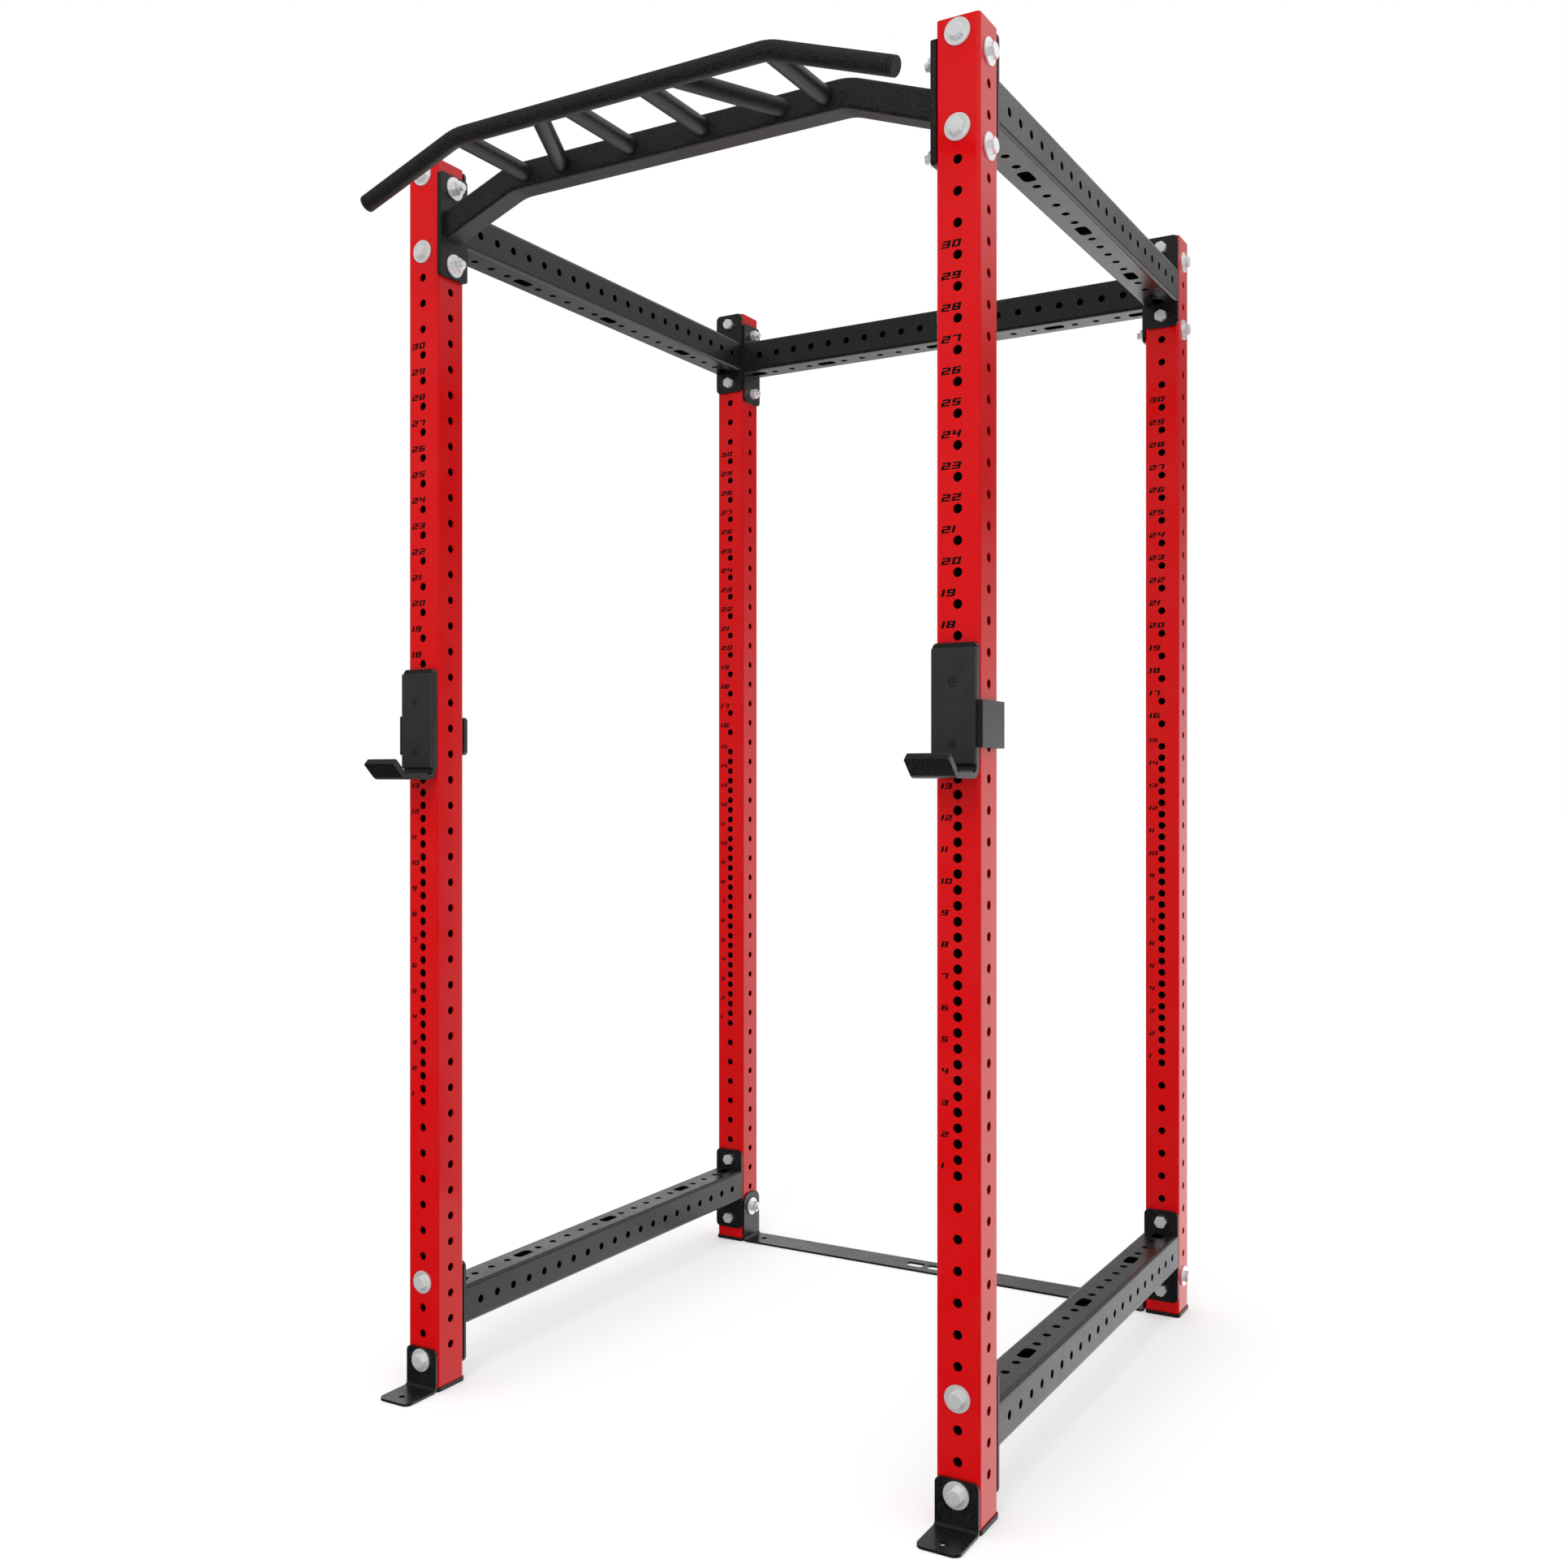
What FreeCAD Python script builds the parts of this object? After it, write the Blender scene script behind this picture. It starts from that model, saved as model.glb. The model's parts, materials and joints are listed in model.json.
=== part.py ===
import FreeCAD, Part
import math
import os

os.makedirs("parts", exist_ok=True)

# ---------------------------------------------------------------------------
# Power cage.  Millimetres, +Z up, front of the cage toward -Y, X to the right.
# Everything is modelled with the origin on the floor midway between the four
# uprights, then moved along Y by Y_SHIFT so that the whole cage is centred.
# ---------------------------------------------------------------------------

# square tube used for uprights and crossmembers (3 x 3 in)
TUBE = 76.2
WALL = 3.0
R_OUT = 7.0
R_IN = R_OUT - WALL

# layout of the uprights (centre distance from the middle, both ways)
HALF = 571.5
FACE_OUT = HALF + TUBE / 2          # outer faces of the uprights
FACE_IN = HALF - TUBE / 2           # inner faces of the uprights
CAP_H = 8.0                         # plastic foot under each upright
TOP = 2421.0                        # top of the uprights

# 1 in hole grid up the uprights
PITCH = 25.4
HOLE_R = 7.95
GRID_Z0 = 8.0
FRONT_HOLES = (list(range(2, 21, 2)) + list(range(22, 51))
               + list(range(52, 89, 2)) + [94])
SIDE_HOLES = list(range(3, 94, 2))

# crossmembers
FLANGE_T = 6.35
FLANGE_H = 203.2
FLANGE_R = 12.0
CM_HALF = FACE_IN - FLANGE_T        # half length of tube between flanges
Z_UP_TUBE = 2306.7
Z_LOW_TUBE = 147.7
CM_PITCH = 50.8
CM_SLOT_L = 47.6
CM_SLOT_W = 24.4
CM_SLOT_R = 9.0

# pull-up assembly
PF_T = 9.5                          # side flange thickness
PF_R = 6.0
BEAM = 50.8
BEAM_WALL = 3.0
BEAM_R = 6.5
BEAM_Z = 2353.4
BEAM_BEND_X = 363.0
BEAM_END_Z = 2294.0
BEAM_BEND_R = 110.0
BAR_R = 16.0
BAR_WALL = 2.6
BAR_Y = -784.1
BAR_Z = 2353.4
BAR_BEND_X = 325.0
BAR_END_X = 547.2
BAR_END_Z = 2274.6
BAR_BEND_R = 100.0
BAR_CAP = 9.0
RUNG_R = 15.875                     # 1 1/4 in tube
RUNG_WALL = 2.6
RUNG_X_IN = 78.0
RUNG_X_OUT = 322.7
RUNG_X_BEAM = 237.0
RUNG_X_BAR = 140.0

# 5/8 in hex hardware
BOLT_R = 7.7
HEAD_AF = 23.8
HEAD_H = 9.9
NUT_H = 13.9
WASH_R = 22.225                     # 5/8 in flat washer, 1 3/4 in across
WASH_BORE_R = 8.73
WASH_T = 3.4
BOLT_L = 107.95
BOLT_L_LONG = 114.3
THREAD_PITCH = 2.309                # 5/8 in, 11 threads to the inch
THREAD_ROOT_R = 6.65
THREAD_TURNS = 4

# J-hooks
PIN_Z = GRID_Z0 + PITCH * 54
PIN_R = 7.875
JX0 = FACE_IN - 0.4                 # inner edge of the hook plate
JX1 = FACE_OUT + 0.2                # outer edge of the hook plate
J_BACK = FACE_OUT + 3.2             # rear face of the steel, distance forward
J_T = 9.5
J_TOP = 1418.5
J_BOT = 1202.0
J_LIP = 501.5                       # outer face of the lip: Y + Z = J_LIP
J_TIP_Y = -730.4
LINER_BACK_GAP = 0.2
LF_T = 7.6                          # front liner thickness
LIP_CORNER_R = 3.5

# feet
FOOT_T = 4.8
FOOT_TOP = 83.0
FOOT_FRONT = -693.0
FOOT_CORNER_R = 14.0
FOOT_HOLE_Y = -667.5
FOOT_HOLE_R = 6.35
BAR_TOP_REAR = 120.8
FLOOR_HOLE_X = 491.0
WINDOW_L = 46.0                     # windows in the middle of the floor bar
WINDOW_W = 28.0
WINDOW_PITCH = 56.0

# whole cage centred in Y: front of the grip bar to the rear bolt ends
Y_FRONT = BAR_Y - BAR_R
Y_REAR = FACE_IN - FLANGE_T + BOLT_L
Y_SHIFT = -(Y_FRONT + Y_REAR) / 2


def V(x, y, z):
    return FreeCAD.Vector(x, y, z)


def rounded_wire(pts, radii):
    """Closed wire in the XY plane through pts with the corners rounded."""
    n = len(pts)
    if not isinstance(radii, (list, tuple)):
        radii = [radii] * n
    starts, mids, ends = [], [], []
    for i in range(n):
        p = V(pts[i][0], pts[i][1], 0)
        r = radii[i]
        if r <= 0:
            starts.append(p)
            mids.append(None)
            ends.append(p)
            continue
        a = V(pts[i - 1][0], pts[i - 1][1], 0) - p
        b = V(pts[(i + 1) % n][0], pts[(i + 1) % n][1], 0) - p
        a.normalize()
        b.normalize()
        ang = math.acos(max(-1.0, min(1.0, a.dot(b))))
        t = r / math.tan(ang / 2)
        bis = a + b
        bis.normalize()
        c = p + bis * (r / math.sin(ang / 2))
        starts.append(p + a * t)
        mids.append(c - bis * r)
        ends.append(p + b * t)
    edges = []
    for i in range(n):
        if mids[i] is not None:
            edges.append(Part.Arc(starts[i], mids[i], ends[i]).toShape())
        nxt = starts[(i + 1) % n]
        if (nxt - ends[i]).Length > 1e-6:
            edges.append(Part.makeLine(ends[i], nxt))
    return Part.Wire(edges)


def rect_pts(w, h, cx=0.0, cy=0.0):
    return [(cx - w / 2, cy - h / 2), (cx + w / 2, cy - h / 2),
            (cx + w / 2, cy + h / 2), (cx - w / 2, cy + h / 2)]


def circle_wire(cx, cy, r):
    return Part.Wire([Part.makeCircle(r, V(cx, cy, 0))])


# local XY drawing planes set up in the cage:
#  XY  x->X y->Y, grows toward +Z
#  XZ  x->X y->Z, grows toward -Y
#  YZ  x->Y y->Z, grows toward +X
PLANES = {
    "XY": FreeCAD.Matrix(1, 0, 0, 0, 0, 1, 0, 0, 0, 0, 1, 0, 0, 0, 0, 1),
    "XZ": FreeCAD.Matrix(1, 0, 0, 0, 0, 0, -1, 0, 0, 1, 0, 0, 0, 0, 0, 1),
    "YZ": FreeCAD.Matrix(0, 0, 1, 0, 1, 0, 0, 0, 0, 1, 0, 0, 0, 0, 0, 1),
}


def prism(outer, holes, plane, at, thick):
    """Plate with holes drawn in a plane that stands at coordinate `at`."""
    face = Part.makeFace([outer] + list(holes), "Part::FaceMakerBullseye")
    solid = face.extrude(V(0, 0, thick))
    solid = solid.transformShape(PLANES[plane]) or solid
    if plane == "XY":
        solid.translate(V(0, 0, at))
    elif plane == "XZ":
        solid.translate(V(0, at, 0))
    else:
        solid.translate(V(at, 0, 0))
    return solid


def one_solid(shape):
    solids = shape.Solids
    if len(solids) == 1:
        return solids[0]
    return Part.makeCompound(solids)


def round_edges(shape, r, pick):
    edges = [e for e in shape.Edges if pick(e)]
    return shape.makeFillet(r, edges)


def chamfer_edges(shape, r, pick):
    edges = [e for e in shape.Edges if pick(e)]
    return shape.makeChamfer(r, edges)


def mirror_x(shape):
    return shape.mirror(V(0, 0, 0), V(1, 0, 0))


def moved(shape, x, y, z):
    s = shape.copy()
    s.translate(V(x, y, z))
    return s


NODES = {}


def add(name, shape):
    NODES[name] = shape


# ---------------------------------------------------------------------------
# uprights
# ---------------------------------------------------------------------------

def make_upright():
    body = prism(rounded_wire(rect_pts(TUBE, TUBE), R_OUT),
                 [rounded_wire(rect_pts(TUBE - 2 * WALL, TUBE - 2 * WALL), R_IN)],
                 "XY", CAP_H, TOP - CAP_H)
    tools = []
    for n in FRONT_HOLES:
        z = GRID_Z0 + PITCH * n
        tools.append(Part.makeCylinder(HOLE_R, 2 * WALL, V(0, -TUBE / 2 - 1, z), V(0, 1, 0)))
        tools.append(Part.makeCylinder(HOLE_R, 2 * WALL, V(0, TUBE / 2 + 1 - 2 * WALL, z), V(0, 1, 0)))
    for n in SIDE_HOLES:
        z = GRID_Z0 + PITCH * n
        tools.append(Part.makeCylinder(HOLE_R, 2 * WALL, V(-TUBE / 2 - 1, 0, z), V(1, 0, 0)))
        tools.append(Part.makeCylinder(HOLE_R, 2 * WALL, V(TUBE / 2 + 1 - 2 * WALL, 0, z), V(1, 0, 0)))
    return one_solid(body.cut(tools))


upright = make_upright()
CORNERS = {"front_left": (-1, -1), "front_right": (1, -1),
           "rear_left": (-1, 1), "rear_right": (1, 1)}
for key, (sx, sy) in CORNERS.items():
    add("upright_" + key, moved(upright, sx * HALF, sy * HALF, 0))

# plastic plug pressed into the open top of each upright: lid flush with the
# tube end, short skirt below it
PLUG_LID = 4.0
PLUG_SKIRT = 12.0
inner = TUBE - 2 * WALL
lid = prism(rounded_wire(rect_pts(inner, inner), R_IN + 1.0), [], "XY", TOP - PLUG_LID, PLUG_LID)
skirt = prism(rounded_wire(rect_pts(inner, inner), R_IN + 1.0),
              [rounded_wire(rect_pts(inner - 5, inner - 5), 2.5)],
              "XY", TOP - PLUG_LID - PLUG_SKIRT, PLUG_SKIRT)
plug = one_solid(lid.fuse(skirt).removeSplitter())
for key, (sx, sy) in CORNERS.items():
    add("top_plug_" + key, moved(plug, sx * HALF, sy * HALF, 0))

# plastic foot: base the upright stands on, a lip all round it and a spigot
# inside the tube.  The lip is cut flush where a foot bracket or the floor bar
# lies against the upright.
LIP = 2.0
FOOT_SPIGOT = 25.0


def make_foot(sx, sy):
    x0, x1 = -TUBE / 2 - LIP, TUBE / 2 + LIP
    y0, y1 = x0, x1
    if sy < 0:
        y0 = -TUBE / 2
    elif sx > 0:
        x0 = -TUBE / 2
    else:
        x1 = TUBE / 2
    base = prism(rounded_wire([(x0, y0), (x1, y0), (x1, y1), (x0, y1)], R_OUT + 1.0),
                 [], "XY", 0, CAP_H)
    spigot = prism(rounded_wire(rect_pts(inner, inner), R_IN + 1.0),
                   [rounded_wire(rect_pts(inner - 6, inner - 6), 2.0)],
                   "XY", CAP_H, FOOT_SPIGOT)
    return one_solid(base.fuse(spigot).removeSplitter())


for key, (sx, sy) in CORNERS.items():
    add("foot_cap_" + key, moved(make_foot(sx, sy), sx * HALF, sy * HALF, 0))

# ---------------------------------------------------------------------------
# crossmembers: perforated tube between two bolting flanges
# ---------------------------------------------------------------------------

def make_cross_tube():
    """Tube along Y, centred on the origin."""
    body = prism(rounded_wire(rect_pts(TUBE, TUBE), R_OUT),
                 [rounded_wire(rect_pts(inner, inner), R_IN)],
                 "XZ", CM_HALF, 2 * CM_HALF)
    tools = []
    for i in range(20):
        y = (i - 9.5) * CM_PITCH
        tools.append(Part.makeCylinder(HOLE_R, 2 * WALL, V(-TUBE / 2 - 1, y, 0), V(1, 0, 0)))
        tools.append(Part.makeCylinder(HOLE_R, 2 * WALL, V(TUBE / 2 + 1 - 2 * WALL, y, 0), V(1, 0, 0)))
    for i in range(-10, 11):
        y = i * CM_PITCH
        for z in (-TUBE / 2 - 1, TUBE / 2 + 1 - 2 * WALL):
            if i in (-10, -6, 0, 6, 10):
                w = rounded_wire(rect_pts(CM_SLOT_W, CM_SLOT_L, 0, y), CM_SLOT_R)
                tools.append(prism(w, [], "XY", z, 2 * WALL))
            else:
                tools.append(Part.makeCylinder(HOLE_R, 2 * WALL, V(0, y, z), V(0, 0, 1)))
    return one_solid(body.cut(tools))


def make_flange(thick, radius, zc, bolts, plane, at, centre):
    """Upright-faced plate with two bolt holes."""
    return prism(rounded_wire(rect_pts(TUBE, FLANGE_H, centre, zc), radius),
                 [circle_wire(centre, GRID_Z0 + PITCH * n, HOLE_R) for n in bolts],
                 plane, at, thick)


cross_tube = make_cross_tube()
for side, sx in (("left", -1), ("right", 1)):
    for level, zt, bolts in (("upper", Z_UP_TUBE, (88, 94)), ("lower", Z_LOW_TUBE, (2, 8))):
        zc = GRID_Z0 + PITCH * (bolts[0] + bolts[1]) / 2
        add("crossmember_%s_%s_tube" % (level, side), moved(cross_tube, sx * HALF, 0, zt))
        add("crossmember_%s_%s_flanges" % (level, side), Part.makeCompound([
            make_flange(FLANGE_T, FLANGE_R, zc, bolts, "XZ", -CM_HALF, sx * HALF),
            make_flange(FLANGE_T, FLANGE_R, zc, bolts, "XZ", FACE_IN, sx * HALF)]))

rear_tube = cross_tube.copy()
rear_tube.rotate(V(0, 0, 0), V(0, 0, 1), 90)
add("crossmember_rear_tube", moved(rear_tube, 0, HALF, Z_UP_TUBE))
zc = GRID_Z0 + PITCH * 90
add("crossmember_rear_flanges", Part.makeCompound([
    make_flange(FLANGE_T, FLANGE_R, zc, (87, 93), "YZ", -FACE_IN, HALF),
    make_flange(FLANGE_T, FLANGE_R, zc, (87, 93), "YZ", CM_HALF, HALF)]))

# ---------------------------------------------------------------------------
# multi-grip pull-up assembly between the front uprights
# ---------------------------------------------------------------------------
for side, at in (("left", -FACE_IN), ("right", FACE_IN - PF_T)):
    add("pullup_flange_" + side,
        make_flange(PF_T, PF_R, zc, (87, 93), "YZ", at, -HALF))


def bent_path(y, z_mid, bend_x, end_x, end_z, r):
    """Path in an XZ plane: end, bend, straight middle, bend, end."""
    pts = [V(-end_x, y, end_z), V(-bend_x, y, z_mid), V(bend_x, y, z_mid), V(end_x, y, end_z)]
    d = pts[0] - pts[1]
    d.normalize()
    e = V(1, 0, 0)
    ang = math.acos(d.dot(e))
    t = r / math.tan(ang / 2)
    bis = d + e
    bis.normalize()
    a0 = pts[1] + d * t
    am = pts[1] + bis * (r / math.sin(ang / 2) - r)
    a1 = pts[1] + e * t

    def mx(p):
        return V(-p.x, p.y, p.z)
    edges = [Part.makeLine(pts[0], a0), Part.Arc(a0, am, a1).toShape(),
             Part.makeLine(a1, mx(a1)), Part.Arc(mx(a1), mx(am), mx(a0)).toShape(),
             Part.makeLine(mx(a0), pts[3])]
    direction = pts[1] - pts[0]
    direction.normalize()
    return Part.Wire(edges), pts[0], direction


def sweep(path, start, d, profile):
    """Sweep a profile drawn in XY along the path."""
    m = FreeCAD.Matrix(0, -d.z, d.x, start.x,
                       1, 0, 0, start.y,
                       0, d.x, d.z, start.z,
                       0, 0, 0, 1)
    w = profile.copy()
    w.transformShape(m)
    return path.makePipeShell([w], True, False)


# beam, cut off square against the side flanges
slope = (BEAM_Z - BEAM_END_Z) / (FACE_IN - PF_T - BEAM_BEND_X)
extra = 40.0
end_x = FACE_IN - PF_T + extra
path, start, d = bent_path(-HALF, BEAM_Z, BEAM_BEND_X, end_x, BEAM_END_Z - extra * slope, BEAM_BEND_R)
beam_out = sweep(path, start, d, rounded_wire(rect_pts(BEAM, BEAM), BEAM_R))
bi = BEAM - 2 * BEAM_WALL
beam_in = sweep(path, start, d, rounded_wire(rect_pts(bi, bi), BEAM_R - BEAM_WALL))
between = Part.makeBox(2 * (FACE_IN - PF_T), 200, 400, V(-(FACE_IN - PF_T), -HALF - 100, 2150))
add("pullup_beam", one_solid(beam_out.cut(beam_in).common(between)))

# grip bar, its end caps stand beyond the tube ends
bar_d = V(BAR_END_X - BAR_BEND_X, 0, BAR_END_Z - BAR_Z)
bar_d.normalize()
tip = V(BAR_END_X, BAR_Y, BAR_END_Z)
tube_end = tip - bar_d * BAR_CAP
path, start, d = bent_path(BAR_Y, BAR_Z, BAR_BEND_X, tube_end.x, tube_end.z, BAR_BEND_R)
bar_out = sweep(path, start, d, circle_wire(0, 0, BAR_R))
bar_in = sweep(path, start, d, circle_wire(0, 0, BAR_R - BAR_WALL))
add("grip_bar", one_solid(bar_out.cut(bar_in)))

cap = Part.makeCylinder(BAR_R, BAR_CAP - 1.2, tip - bar_d * (BAR_CAP - 1.2), bar_d)
cap = round_edges(cap, 2.0, lambda e: (e.CenterOfMass - tip).Length < 0.1)
neck = Part.makeCylinder(BAR_R - 1.2, 1.2, tube_end, bar_d)
spigot = Part.makeCylinder(BAR_R - BAR_WALL - 0.1, 18.0, tube_end - bar_d * 18.0, bar_d)
cap = one_solid(cap.fuse([neck, spigot]))
add("grip_bar_cap_right", cap)
add("grip_bar_cap_left", mirror_x(cap))

# rungs joining the beam to the bar
BEAM_FRONT = -HALF - BEAM / 2


def make_rung(x_beam, x_bar):
    a = V(x_beam, BEAM_FRONT, BEAM_Z)
    b = V(x_bar, BAR_Y, BAR_Z)
    u = b - a
    u.normalize()
    a0 = a - u * 40
    length = (b - a0).Length
    tube = Part.makeCylinder(RUNG_R, length, a0, u).cut(
        Part.makeCylinder(RUNG_R - RUNG_WALL, length, a0, u))
    front = Part.makeBox(400, 400, 100, V((x_beam + x_bar) / 2 - 200, BEAM_FRONT - 400, BEAM_Z - 50))
    tube = tube.common(front).cut(bar_out)
    solids = sorted(tube.Solids, key=lambda s: -s.Volume)
    return solids[0]


rungs = {
    "outer": make_rung(RUNG_X_OUT, RUNG_X_OUT),
    "angled": make_rung(RUNG_X_BEAM, RUNG_X_BAR),
    "inner": make_rung(RUNG_X_IN, RUNG_X_IN),
}
for key, solid in rungs.items():
    add("rung_%s_right" % key, solid)
    add("rung_%s_left" % key, mirror_x(solid))

# ---------------------------------------------------------------------------
# front foot brackets and rear floor bar
# ---------------------------------------------------------------------------

def by_position(**kw):
    def pick(e):
        c = e.CenterOfMass
        b = e.BoundBox
        for k, v in kw.items():
            if k == "along":
                span = {"x": b.XLength, "y": b.YLength, "z": b.ZLength}
                others = [span[a] for a in span if a != v]
                if span[v] < 1.0 or max(others) > 0.01:
                    return False
            elif abs(getattr(c, k) - v) > 0.05:
                return False
        return True
    return pick


yv = -FACE_OUT
profile = rounded_wire(
    [(yv, FOOT_TOP), (yv, 0), (FOOT_FRONT, 0), (FOOT_FRONT, FOOT_T), (yv - FOOT_T, FOOT_T),
     (yv - FOOT_T, FOOT_TOP)],
    [0, 6.0 + FOOT_T, 0, 0, 6.0, 0])
bracket = prism(profile, [], "YZ", FACE_IN, TUBE)
for x in (FACE_IN, FACE_OUT):
    bracket = round_edges(bracket, 11.0, by_position(along="y", x=x, z=FOOT_TOP))
    bracket = round_edges(bracket, FOOT_CORNER_R, by_position(along="z", x=x, y=FOOT_FRONT))
bracket = bracket.cut([
    Part.makeCylinder(FOOT_HOLE_R, 20, V(HALF, FOOT_HOLE_Y, -5), V(0, 0, 1)),
    Part.makeCylinder(HOLE_R, 20, V(HALF, yv - 15, GRID_Z0 + PITCH * 2), V(0, 1, 0))])
bracket = one_solid(bracket)
add("foot_bracket_right", bracket)
add("foot_bracket_left", mirror_x(bracket))

profile = rounded_wire(
    [(-FACE_IN, BAR_TOP_REAR), (-FACE_IN, 0), (FACE_IN, 0), (FACE_IN, BAR_TOP_REAR),
     (FACE_IN - FOOT_T, BAR_TOP_REAR), (FACE_IN - FOOT_T, FOOT_T),
     (-FACE_IN + FOOT_T, FOOT_T), (-FACE_IN + FOOT_T, BAR_TOP_REAR)],
    [0, 6.0 + FOOT_T, 6.0 + FOOT_T, 0, 0, 6.0, 6.0, 0])
floor_bar = prism(profile, [], "XZ", FACE_OUT, TUBE)
for y in (FACE_IN, FACE_OUT):
    for x in (-FACE_IN + FOOT_T / 2, FACE_IN - FOOT_T / 2):
        floor_bar = round_edges(floor_bar, 25.0, by_position(along="x", x=x, y=y, z=BAR_TOP_REAR))
tools = [Part.makeCylinder(HOLE_R, 40, V(s * (FACE_IN - FOOT_T / 2) - 20, HALF, GRID_Z0 + PITCH * 3), V(1, 0, 0))
         for s in (-1, 1)]
tools += [Part.makeCylinder(HOLE_R, 20, V(s * FLOOR_HOLE_X, HALF, -5), V(0, 0, 1)) for s in (-1, 1)]
for x in (-WINDOW_PITCH, 0.0, WINDOW_PITCH):
    tools.append(prism(rounded_wire(rect_pts(WINDOW_L, WINDOW_W, x, HALF), 7.0), [], "XY", -5, 20))
add("rear_floor_bar", one_solid(floor_bar.cut(tools)))

# ---------------------------------------------------------------------------
# bolts, washers and nuts
# ---------------------------------------------------------------------------

def hex_prism(af, h):
    r = af / math.sqrt(3)
    pts = [(r * math.cos(math.radians(60 * i + 30)), r * math.sin(math.radians(60 * i + 30)))
           for i in range(6)]
    return prism(rounded_wire(pts, 0), [], "XY", 0, h)


def dome(af, h, top, bottom):
    """Turned outline that breaks the corners of a hexagon."""
    r = af / 2
    rc = af / math.sqrt(3) + 0.2
    k = (rc - r * 0.96) * math.tan(math.radians(30))
    pts = [(0, 0)]
    pts += [(r * 0.96, 0), (rc, k)] if bottom else [(rc, 0)]
    pts += [(rc, h - k), (r * 0.96, h)] if top else [(rc, h)]
    pts += [(0, h)]
    face = Part.Face(Part.makePolygon([V(p[0], 0, p[1]) for p in pts + pts[:1]]))
    return face.revolve(V(0, 0, 0), V(0, 0, 1), 360)


def make_bolt(length):
    """Underside of the head at z=0, shank toward -Z, head toward +Z."""
    head = hex_prism(HEAD_AF, HEAD_H).common(dome(HEAD_AF, HEAD_H, True, False))
    shank = Part.makeCylinder(BOLT_R, length, V(0, 0, -length))
    shank = chamfer_edges(shank, 1.2, lambda e: abs(e.CenterOfMass.z + length) < 0.01)
    # the thread beyond the nut, as rings at the thread's pitch
    for i in range(THREAD_TURNS):
        z = -length + 2.4 + THREAD_PITCH * i
        pts = [(BOLT_R + 0.3, z - 1.2), (THREAD_ROOT_R, z - 0.15),
               (THREAD_ROOT_R, z + 0.15), (BOLT_R + 0.3, z + 1.2)]
        face = Part.Face(Part.makePolygon([V(q[0], 0, q[1]) for q in pts + pts[:1]]))
        shank = shank.cut(face.revolve(V(0, 0, 0), V(0, 0, 1), 360))
    return one_solid(head.fuse(shank))


bolt_std = make_bolt(BOLT_L)
bolt_long = make_bolt(BOLT_L_LONG)
nut = one_solid(hex_prism(HEAD_AF, NUT_H).common(dome(HEAD_AF, NUT_H, True, True)).cut(
    Part.makeCylinder(BOLT_R + 0.1, NUT_H + 2, V(0, 0, -1))))
washer = prism(circle_wire(0, 0, WASH_R), [circle_wire(0, 0, WASH_BORE_R)], "XY", 0, WASH_T)
washer = chamfer_edges(washer, 0.5, lambda e: e.Length > 2 * math.pi * WASH_R - 1)


def oriented(shape, pos, out, spin=0.0):
    """Stand a +Z part at pos with its Z along `out`."""
    s = shape.copy()
    s.rotate(V(0, 0, 0), V(0, 0, 1), spin)
    rot = FreeCAD.Rotation(V(0, 0, 1), out)
    pl = FreeCAD.Placement(pos, rot)
    s.transformShape(pl.toMatrix())
    return s


bolts_std, bolts_long, nuts, washers = [], [], [], []
SPINS = [12.0, 47.0, 5.0, 33.0, 21.0, 54.0, 40.0, 28.0]


def fit_bolt(pos, out, grip, long_bolt, head_washer, nut_washer, k):
    """Bolt with its head on a face at pos, facing `out`, through `grip` mm."""
    spin = SPINS[k % len(SPINS)]
    p = pos
    if head_washer:
        washers.append(oriented(washer, p, out))
        p = p + out * WASH_T
    (bolts_long if long_bolt else bolts_std).append(
        oriented(bolt_long if long_bolt else bolt_std, p, out, spin))
    back = pos - out * grip
    if nut_washer:
        washers.append(oriented(washer, back - out * WASH_T, out))
        back = back - out * WASH_T
    nuts.append(oriented(nut, back - out * NUT_H, out, SPINS[(k + 3) % len(SPINS)]))


def gz(n):
    return GRID_Z0 + PITCH * n


k = 0
for sx in (-1, 1):
    x = sx * HALF
    # side crossmembers, front uprights: heads on the front
    for n in (94, 88, 8):
        fit_bolt(V(x, -FACE_OUT, gz(n)), V(0, -1, 0), TUBE + FLANGE_T, False, True, True, k)
        k += 1
    fit_bolt(V(x, -FACE_OUT - FOOT_T, gz(2)), V(0, -1, 0), TUBE + FLANGE_T + FOOT_T, True, True, True, k)
    k += 1
    # side crossmembers, rear uprights: heads on the flanges
    for n in (94, 88, 8, 2):
        fit_bolt(V(x, CM_HALF, gz(n)), V(0, -1, 0), TUBE + FLANGE_T, False, False, True, k)
        k += 1
    # pull-up assembly: heads on the outer sides
    for n in (93, 87):
        fit_bolt(V(sx * FACE_OUT, -HALF, gz(n)), V(sx, 0, 0), TUBE + PF_T, True, True, True, k)
        k += 1
    # rear crossmember
    for n in (93, 87):
        fit_bolt(V(sx * FACE_OUT, HALF, gz(n)), V(sx, 0, 0), TUBE + FLANGE_T, False, True, False, k)
        k += 1
    # rear floor bar
    fit_bolt(V(sx * FACE_OUT, HALF, gz(3)), V(sx, 0, 0), TUBE + FOOT_T, False, True, True, k)
    k += 1

add("hex_bolts_standard", Part.makeCompound(bolts_std))
add("hex_bolts_long", Part.makeCompound(bolts_long))
add("hex_nuts", Part.makeCompound(nuts))
add("flat_washers", Part.makeCompound(washers))

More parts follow.
